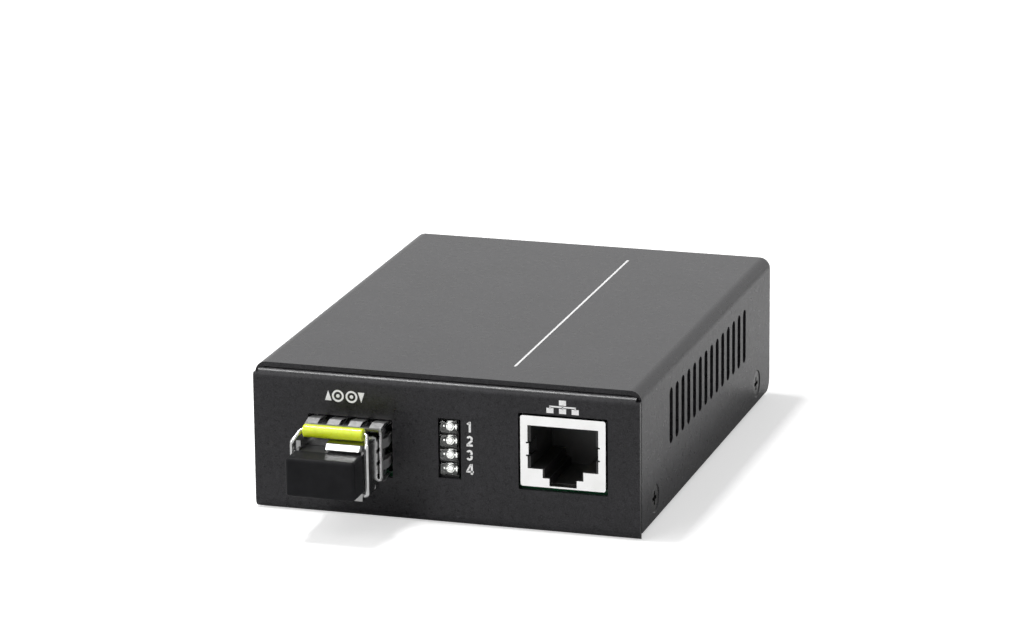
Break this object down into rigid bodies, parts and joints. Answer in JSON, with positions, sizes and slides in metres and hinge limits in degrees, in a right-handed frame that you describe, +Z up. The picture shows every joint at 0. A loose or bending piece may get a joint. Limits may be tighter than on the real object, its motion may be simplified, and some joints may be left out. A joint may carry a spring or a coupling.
{
  "type": "fibre media converter",
  "caption": "Flat folded-steel box that joins copper and fibre network lines, with a pluggable optical module, status lights and a power socket.",
  "frame": {"origin": "middle of the case's underside, without the module that stands out at the front", "axes": "-Y out of the front panel with the sockets, +Z up, +X to the right as seen from the front"},
  "size_m": [0.073, 0.1114, 0.0276],
  "materials": {
    "case_paint": "satin powder coat, fine grain",
    "screw_black": "black zinc",
    "zinc_steel": "bright zinc",
    "tin_plate": "bright tin plate",
    "gold_contact": "thin gold plate",
    "board_green": "solder-masked glass laminate",
    "black_moulding": "moulded",
    "led_lens": "clear moulded lens",
    "chip_black": "moulded package",
    "capacitor_sleeve": "shrunk sleeve",
    "ceramic_chip": "fired",
    "cast_zinc": "die cast",
    "port_black": "moulded",
    "spring_steel": "bright",
    "sleeve_green": "soft moulded",
    "plug_rubber": "smooth moulded"
  },
  "bodies": {
    "case": {"chassis": "case_paint", "cover": "case_paint", "case_screws": "screw_black", "board_standoffs": "zinc_steel", "board_screws": "zinc_steel", "main_board": "board_green", "rj45_shield": "tin_plate", "rj45_housing": "black_moulding", "rj45_contacts": "gold_contact", "led_holder": "black_moulding", "led_1": "led_lens", "led_2": "led_lens", "led_3": "led_lens", "led_4": "led_lens", "led_leads": "tin_plate", "sfp_cage": "tin_plate", "cage_spring_fingers": "spring_steel", "sfp_socket": "black_moulding", "sfp_socket_contacts": "gold_contact", "dc_jack_body": "black_moulding", "dc_jack_pin": "spring_steel", "dc_jack_spring": "spring_steel", "media_chip": "chip_black", "pulse_transformer": "chip_black", "chip_leads": "tin_plate", "regulator": "chip_black", "crystal": "tin_plate", "capacitor_input": "capacitor_sleeve", "capacitor_output": "capacitor_sleeve", "inductor": "chip_black", "chip_passives": "ceramic_chip"},
    "module": {"module_base": "cast_zinc", "module_cover": "tin_plate", "module_board": "board_green", "module_port": "port_black", "laser_can": "spring_steel", "receiver_can": "spring_steel", "module_spring_collar": "spring_steel", "latch_pin": "spring_steel"},
    "bail": {"bail_wire": "spring_steel", "bail_sleeve": "sleeve_green"},
    "latch": {"latch_lever": "cast_zinc"},
    "plug": {"dust_plug": "plug_rubber"}
  },
  "joints": [
    {"name": "module_slide", "type": "slide", "parent": "case", "child": "module", "axis": [0, -1, 0], "range_m": [0, 0.05]},
    {"name": "bail_swing", "type": "hinge", "parent": "module", "child": "bail", "pos_m": [-0.018, -0.0586, 0.008], "axis": [1, 0, 0], "range_deg": [0, 112]},
    {"name": "latch_rock", "type": "hinge", "parent": "module", "child": "latch", "pos_m": [-0.018, -0.05345, 0.008], "axis": [1, 0, 0], "range_deg": [0, 6.5]},
    {"name": "plug_pull", "type": "slide", "parent": "module", "child": "plug", "axis": [0, -1, 0], "range_m": [0, 0.014]}
  ],
  "couplings": [
    {"joint": "latch_rock", "follows": "bail_swing", "ratio": 0.058}
  ]
}
